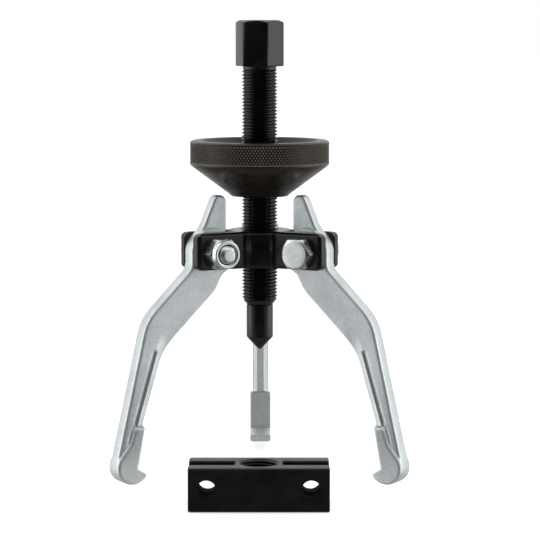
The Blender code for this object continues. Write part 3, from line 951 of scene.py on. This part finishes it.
def arm_frame(degrees):
    """Directions along an arm of the yoke and across it."""
    angle = math.radians(degrees)
    out = Vector((math.cos(angle), math.sin(angle), 0))
    across = Vector((-math.sin(angle), math.cos(angle), 0))
    return out, across


def frame_matrix(x_axis, y_axis, z_axis, origin):
    rows = [(x_axis[i], y_axis[i], z_axis[i], origin[i]) for i in range(3)]
    return Matrix(rows + [(0, 0, 0, 1)])


def jaw_matrix(degrees):
    """Local X runs away from the screw, local Y up, and local Z across the jaw."""
    out, across = arm_frame(degrees)
    return frame_matrix(out, Vector((0, 0, 1)), -across, Vector((AXIS.x, AXIS.y, 0)))


def bolt_matrix(degrees):
    """Local Z runs along the bolt from its head to its nut, local X away from the screw."""
    out, across = arm_frame(degrees)
    origin = Vector((AXIS.x, AXIS.y, PIVOT_Z)) + out * PIVOT_R
    return frame_matrix(out, Vector((0, 0, -1)), across, origin)


# ------------------------ bolts and nuts


YOKE_HALF = 8.5
CAD_SEAT = YOKE_HALF + 0.3  # where the CAD's bolt heads and nuts start
SEAT = YOKE_HALF + 0.1  # where the ones here start, closer to the yoke's ears
HEAD_TALL = 5.3
NUT_TALL = 8.0
NUT_HEX_TALL = 5.7  # its hexagon, below the collar
BOLT_END_OUT = 1.7  # length of the bolt past the nut
BOLT_COLUMNS = 72
BOLT_FLATS = 13.0
CHAMFER_ROUND = BOLT_FLATS / 2 - 0.1  # radius of the round face inside the corners' chamfer
BOLT_HEX = hexagon(BOLT_COLUMNS, BOLT_FLATS, 30.0, 0.1)
BOLT_FALL = (BOLT_HEX - CHAMFER_ROUND) * math.tan(math.radians(30))  # of that chamfer
INSERT_TALL = 1.7


def build_bolt(name, degrees):
    corner, flat, fall = BOLT_HEX, CHAMFER_ROUND, BOLT_FALL
    face = -(CAD_SEAT + HEAD_TALL)
    end = CAD_SEAT + NUT_TALL + BOLT_END_OUT
    rings = [
        (0.0, end),
        (1.2, end),
        (2.4, end),
        (2.7, end - 0.03),
        (2.85, end - 0.12),
        (3.35, end - 0.55),
        (3.2, end - 0.8),
        (3.8, end - 1.15),
        (3.9, end - 1.35),
        (3.4, end - 1.75),
        (3.4, end - 1.9),
        (3.95, end - 2.35),
        (3.98, end - 3.2),
        (3.98, -SEAT),
        (5.9, -SEAT),
        (6.1, -SEAT - 0.12),
        (6.15, -SEAT - 0.3),
        (corner - 0.3, -SEAT - 0.32 - fall * 0.3),
        (corner, -SEAT - 0.6 - fall * 0.3),
        (corner, face + 0.35 + fall),
        (corner - 0.14, face + 0.17 + fall),
        (flat - 0.25, face + 0.1),
        (flat - 0.9, face + 0.02),
        (3.2, face),
        (0.0, face),
    ]
    add_piece(
        f"pivot_bolt_{name}_m8", turned(rings, BOLT_COLUMNS), BRIGHT, "puller",
        f"pivot_bolt_{name}", bolt_matrix(degrees),
    )


def build_nut(name, degrees):
    """A lock nut with a collar, and the ring in the pocket of its collar."""
    corner, flat, fall = BOLT_HEX, CHAMFER_ROUND, BOLT_FALL
    top = CAD_SEAT + NUT_TALL
    hex_top = SEAT + NUT_HEX_TALL
    pocket = top - 2.4
    rings = [
        (4.45, top - 1.0),
        (4.4, top - 0.6),
        (4.55, top - 0.2),
        (4.95, top - 0.02),
        (5.3, top),
        (5.75, top),
        (6.0, top - 0.1),
        (6.15, top - 0.35),
        (6.2, top - 0.7),
        (6.2, hex_top + 0.3),
        (6.3, hex_top + 0.05),
        (6.38, hex_top),
        (corner - 0.14, hex_top - fall - 0.02),
        (corner, hex_top - fall - 0.2),
        (corner, SEAT + 0.25 + fall),
        (corner - 0.14, SEAT + 0.08 + fall),
        (flat - 0.1, SEAT),
        (4.6, SEAT),
        (4.1, SEAT + 0.5),
        (4.1, pocket),
        (5.4, pocket),
        (5.4, top - 1.0),
    ]
    add_piece(
        f"lock_nut_{name}_m8", turned(rings, BOLT_COLUMNS, loop=True), BRIGHT, "puller",
        f"lock_nut_{name}", bolt_matrix(degrees),
    )
    low = pocket + 0.05
    high = low + INSERT_TALL
    ring = [
        (4.05, high - 0.25),
        (4.3, high),
        (5.1, high),
        (5.3, high - 0.2),
        (5.35, low),
        (4.05, low),
    ]
    add_piece(
        f"nut_insert_{name}_ring", turned(ring, BOLT_COLUMNS, loop=True), NYLON, "puller",
        f"nut_insert_{name}", bolt_matrix(degrees),
    )


# ------------------------ yoke


YOKE_CORE = 15.0
YOKE_REACH = 36.0
EAR_SLOT = 4.0  # half width of the slot between two ears
EAR_SLOT_START = 14.3
EAR_END_ROUND = 3.5  # rounding of the ears' ends, seen from the side
YOKE_EDGE = 1.8
SLOT_EDGE = 0.4
YOKE_BORE = 8.15
BORE_CHAMFER = 0.6
ARMS_FROM = 5  # distance from the screw's axis beyond which a point can be on an arm
PIN_REACH = 20.0  # half length of the cutters of the bolt holes


def yoke_outline(slotted):
    """Plan of the yoke: a round core and three arms, with or without slots."""
    corners = []
    spread = math.degrees(math.asin(YOKE_HALF / YOKE_CORE))
    join = YOKE_CORE * math.cos(math.radians(spread))
    for degrees in sorted(ARMS.values()):
        out, across = arm_frame(degrees)
        local = [(join, -YOKE_HALF, 2.5), (YOKE_REACH, -YOKE_HALF, 2.2)]
        if slotted:
            local += [
                (YOKE_REACH, -EAR_SLOT, 0.5),
                (EAR_SLOT_START, -EAR_SLOT, 1.5),
                (EAR_SLOT_START, EAR_SLOT, 1.5),
                (YOKE_REACH, EAR_SLOT, 0.5),
            ]
        local += [(YOKE_REACH, YOKE_HALF, 2.2), (join, YOKE_HALF, 2.5)]
        for r, t, fillet in local:
            corners.append((out.x * r + across.x * t, out.y * r + across.y * t, fillet))
        start, end = degrees + spread, degrees + 120 - spread
        for i in range(1, 6):
            angle = math.radians(start + (end - start) * i / 6)
            corners.append((YOKE_CORE * math.cos(angle), YOKE_CORE * math.sin(angle), 0.0))
    return corner_path(corners)


def build_yoke():
    low, high = box_mm("yoke")
    half = (high.z - low.z) / 2
    middle = (high.z + low.z) / 2
    outline = yoke_outline(True)
    outside = spaced(yoke_outline(False), LOOP_STEP)

    def height(points):
        side = np.abs(path_distance(points, outside)[0])
        drop = fillet_drop(side, YOKE_EDGE)
        for degrees in ARMS.values():
            out, across = arm_frame(degrees)
            r = points @ np.array((out.x, out.y))
            t = np.abs(points @ np.array((across.x, across.y)))
            ahead = r > ARMS_FROM
            wall = np.hypot(np.maximum(EAR_SLOT_START - r, 0), np.maximum(t - EAR_SLOT, 0))
            drop = np.where(ahead, np.maximum(drop, fillet_drop(wall, SLOT_EDGE)), drop)
            end = fillet_drop(np.maximum(YOKE_REACH - r, 0), EAR_END_ROUND)
            drop = np.where(ahead & (r > YOKE_REACH - EAR_END_ROUND), np.maximum(drop, end), drop)
        away = np.hypot(points[:, 0], points[:, 1]) - YOKE_BORE
        drop = np.maximum(drop, np.clip(BORE_CHAMFER - away, 0, BORE_CHAMFER))
        return half - drop

    lines = []
    for degrees in ARMS.values():
        out, across = arm_frame(degrees)
        for inset in (0.03, 0.25, 0.9, 2.0, EAR_END_ROUND):
            r = YOKE_REACH - inset
            ends = []
            for t in (-YOKE_HALF, YOKE_HALF):
                ends.append((out.x * r + across.x * t, out.y * r + across.y * t))
            lines.append((np.array(ends), False))
    lines.append((circle((0, 0), YOKE_BORE + BORE_CHAMFER, BORE_COLUMNS), True))
    skin = slab(
        outline,
        height,
        step=1.0,
        rows=(0.12, 0.4, 0.9, YOKE_EDGE),
        lines=lines,
        holes=[((0, 0), YOKE_BORE, BORE_COLUMNS)],
    )
    yoke = add_piece("yoke_clevis", skin, BLACK, "puller", "yoke", upright(middle))
    pin = [(0.0, PIN_REACH), (BOLT_HOLE, PIN_REACH), (BOLT_HOLE, -PIN_REACH), (0.0, -PIN_REACH)]
    for degrees in ARMS.values():
        cut(yoke, turned(pin, 40), bolt_matrix(degrees))


# ------------------------ crossbar


BAR_CHAMFER = 0.5
BAR_HOLE_MOUTH = 8.4
BAR_HOLE_MINOR = 7.2
BAR_HOLE_MAJOR = 8.0
BAR_SLOT_HALF = 4.25
BAR_SLOT_START = 10.0
BAR_PIN_AT = 21.6  # the cross holes, from the middle
BAR_PIN = 4.1
CUTTER_OUT = 2.0  # how far the cutters of the cross holes stand out
FLARE = 2.1  # their widening, which leaves a small chamfer on the bar


def build_crossbar():
    low, high = box_mm("crossbar")
    half = (high - low) / 2
    centre = (high + low) / 2
    corners = [
        (half.x, -half.y, 0.4),
        (half.x, -BAR_SLOT_HALF, 0.3),
        (BAR_SLOT_START, -BAR_SLOT_HALF, 0.5),
        (BAR_SLOT_START, BAR_SLOT_HALF, 0.5),
        (half.x, BAR_SLOT_HALF, 0.3),
        (half.x, half.y, 0.4),
    ]
    corners += [(-x, -y, fillet) for x, y, fillet in corners]
    outline = corner_path(corners)
    loop = spaced(outline, 1.0)

    def height(points):
        depth, _ = path_distance(points, loop)
        return half.z - np.clip(BAR_CHAMFER - depth, 0, BAR_CHAMFER)

    plate = slab(
        outline,
        height,
        step=1.2,
        rows=(BAR_CHAMFER,),
        holes=[((0, 0), BAR_HOLE_MOUTH, ROUND)],
        open_holes=[((0, 0), BAR_HOLE_MOUTH)],
    )

    def radius_at(phase, height):
        made = thread_profile(BAR_HOLE_MAJOR, BAR_HOLE_MINOR, phase)
        return np.maximum(made, BAR_HOLE_MOUTH - (half.z - np.abs(height)))

    thread = thread_skin(thread_rings(-half.z, half.z, radius_at))
    bar = add_piece(
        "crossbar_two_way", joined(plate, thread), BAR_BLACK, "spare_bar", "crossbar",
        Matrix.Translation(centre),
    )
    reach = half.y + CUTTER_OUT
    pin = [
        (0.0, reach),
        (BAR_PIN + FLARE, reach),
        (BAR_PIN, reach - FLARE),
        (BAR_PIN, -reach + FLARE),
        (BAR_PIN + FLARE, -reach),
        (0.0, -reach),
    ]
    for side in (-1, 1):
        where = Vector((centre.x + side * BAR_PIN_AT, centre.y, centre.z))
        matrix = frame_matrix(Vector((1, 0, 0)), Vector((0, 0, -1)), Vector((0, 1, 0)), where)
        cut(bar, turned(pin, 48), matrix)
    # the walls of the cross holes are duller and darker: a dull finish with painted shade in the
    # holes
    bar.data.materials.append(HOLE_SHADE_BLACK)
    for face in bar.data.polygons:
        middle = face.center / MM - centre
        away = math.hypot(abs(middle.x) - BAR_PIN_AT, middle.z)
        if away < BAR_PIN + 0.5 and abs(face.normal.y) < 0.9:
            face.material_index = 1


# ------------------------ stage


HOOK_REACH = 109.8  # from a pivot to the far side of its hook, with some room
FLOOR_RADIUS = 9000.0
FLOOR_GAP = 0.2  # below the surface that the object stands on
# What the object mirrors, from the camera's side (0) to the far side (1)
AROUND = (
    (0.0, (0.015, 0.015, 0.02)),
    (0.10, (0.03, 0.03, 0.035)),
    (0.25, (0.62, 0.64, 0.65)),
    (0.40, (1.5, 1.5, 1.5)),
    (0.54, (1.9, 1.9, 1.9)),
    (0.74, (0.85, 0.85, 0.87)),
    (0.95, (0.8, 0.8, 0.8)),
)
OVERHEAD = (0.5, 0.5, 0.5)
OVERHEAD_FROM = (0.45, 0.95)  # upward part of a direction, where it starts and is complete
BENEATH = (0.22, 0.21, 0.20)
BENEATH_FROM = (-0.16, -0.7)
SOFTBOX_AT = Vector((0.0, 0.15, 1.3))
SOFTBOX_SIZE = (3.0, 2.6)
SOFTBOX_WATTS = 9
SOFTBOX_TARGET = Vector((0, 0, 0.09))
CAMERA_X = 0.0046
CAMERA_AWAY = 1.0  # in metres in front of the screw, at the height of its top
CAMERA_DOWN = 6.34  # in degrees


def floor_skin():
    """A floor with a shallow dish, so that closing hooks don't go through it."""
    edge = PIVOT_R + math.sqrt(HOOK_REACH**2 - PIVOT_Z**2)
    rings = [(FLOOR_RADIUS, 0.0), (edge + 60.0, 0.0), (edge + 2.0, 0.0)]
    for radius in np.linspace(edge, PIVOT_R, 24):
        rings.append((radius, PIVOT_Z - math.sqrt(HOOK_REACH**2 - (radius - PIVOT_R) ** 2)))
    rings.append((0.0, PIVOT_Z - HOOK_REACH))
    return turned(rings)


def build_floor():
    verts, faces = floor_skin()
    mesh = bpy.data.meshes.new("floor")
    mesh.from_pydata([tuple(v) for v in verts], [], faces)
    mesh.transform(Matrix.Scale(MM, 4) @ upright(-FLOOR_GAP))
    mesh.shade_smooth()
    floor = add_object("floor", mesh)
    made, _, shader = new_material("floor_white")
    shader.inputs["Base Color"].default_value = (0.93, 0.93, 0.93, 1)
    shader.inputs["Roughness"].default_value = 0.9
    shader.inputs["Specular IOR Level"].default_value = 0.1
    shader.inputs["Emission Color"].default_value = (1, 1, 1, 1)
    shader.inputs["Emission Strength"].default_value = 0.5
    mesh.materials.append(made)
    floor.visible_glossy = False


def build_world():
    """White to the camera; to the object, a studio dark on the camera's side."""
    world = bpy.data.worlds.new("studio")
    bpy.context.scene.world = world
    world.use_nodes = True
    tree = world.node_tree
    back = tree.nodes["Background"]
    out = tree.nodes["World Output"]
    place = add_node(tree, "ShaderNodeTexCoord")
    split = split_xyz(tree, place.outputs["Generated"])
    toward = remap(tree, split.outputs["Y"], -1.0, 1.0, 0.0, 1.0)
    upward = remap(tree, split.outputs["Z"], *OVERHEAD_FROM, 0.0, 1.0)
    downward = remap(tree, split.outputs["Z"], *BENEATH_FROM, 0.0, 1.0)
    colour = mix(tree, upward, ramp(tree, toward, AROUND), OVERHEAD)
    colour = mix(tree, downward, colour, BENEATH)
    tree.links.new(colour, back.inputs["Color"])
    back.inputs["Strength"].default_value = 1.0
    plain = add_node(tree, "ShaderNodeBackground")
    plain.inputs["Color"].default_value = (1, 1, 1, 1)
    seen = add_node(tree, "ShaderNodeLightPath")
    choose = add_node(tree, "ShaderNodeMixShader")
    tree.links.new(seen.outputs["Is Camera Ray"], choose.inputs["Fac"])
    tree.links.new(back.outputs["Background"], choose.inputs[1])
    tree.links.new(plain.outputs["Background"], choose.inputs[2])
    tree.links.new(choose.outputs["Shader"], out.inputs["Surface"])


def build_light():
    light = bpy.data.lights.new("top_softbox", "AREA")
    light.shape = "RECTANGLE"
    light.size, light.size_y = SOFTBOX_SIZE
    light.energy = SOFTBOX_WATTS
    lamp = add_object("top_softbox", light)
    lamp.location = SOFTBOX_AT
    aim = SOFTBOX_TARGET - SOFTBOX_AT
    lamp.rotation_euler = aim.to_track_quat("-Z", "Y").to_euler()


def build_camera():
    data = bpy.data.cameras.new("camera")
    data.lens = 150
    data.sensor_width = 36
    data.clip_start = 0.05
    data.clip_end = 50
    camera = add_object("camera", data)
    hex_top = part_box("forcing_screw")[1][2]
    camera.location = (CAMERA_X, AXIS.y * MM - CAMERA_AWAY, hex_top)
    camera.rotation_euler = (math.radians(90 - CAMERA_DOWN), 0, 0)
    bpy.context.scene.camera = camera


build_camera()
build_floor()
build_world()
build_light()
build_screw()
build_point()
build_cone_nut()
build_jaws()
for arm, direction in ARMS.items():
    build_bolt(arm, direction)
    build_nut(arm, direction)
build_yoke()
build_crossbar()
snap_ring = frame["nodes"]["tip_retaining_ring"]
snap_ring.data.materials.clear()
snap_ring.data.materials.append(BRIGHT)

bpy.context.scene.view_settings.view_transform = "Standard"
